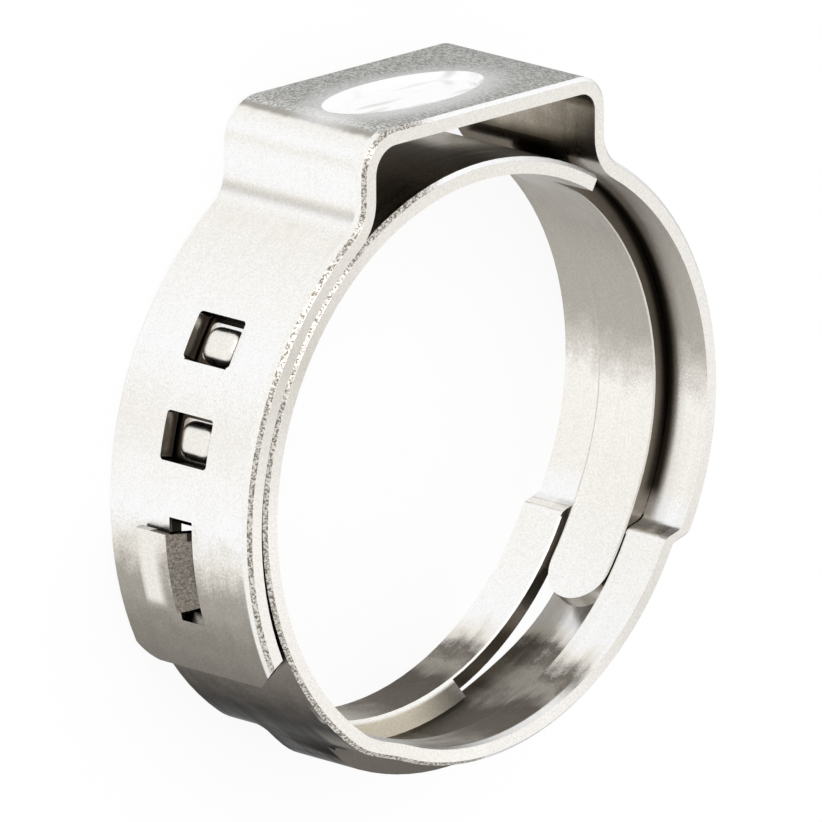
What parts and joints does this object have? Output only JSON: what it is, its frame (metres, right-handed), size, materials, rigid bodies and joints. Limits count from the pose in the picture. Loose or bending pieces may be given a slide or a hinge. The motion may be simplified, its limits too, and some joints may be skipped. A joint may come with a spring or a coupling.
{
  "type": "stepless single-ear hose clamp",
  "caption": "Stepless stainless single-ear clamp, open and unused: band with hooks in windows, guide flap, raised ear, and tongue sliding in a slit channel; crimped to fix a hose",
  "frame": {"origin": "on the axis of the hose bore, in the plane of the band edge that the clamp lies on", "axes": "+Z along the hose axis, away from the edge it lies on; +Y from the hose axis to the ear; +X to the right with the ear away from the viewer and seen from above"},
  "size_m": [0.0243, 0.0248, 0.007],
  "materials": {
    "stainless_strip": "bright rolled strip with a satin sheen, sheared edges"
  },
  "bodies": {
    "root": {"clamp_band": "stainless_strip"}
  },
  "joints": []
}
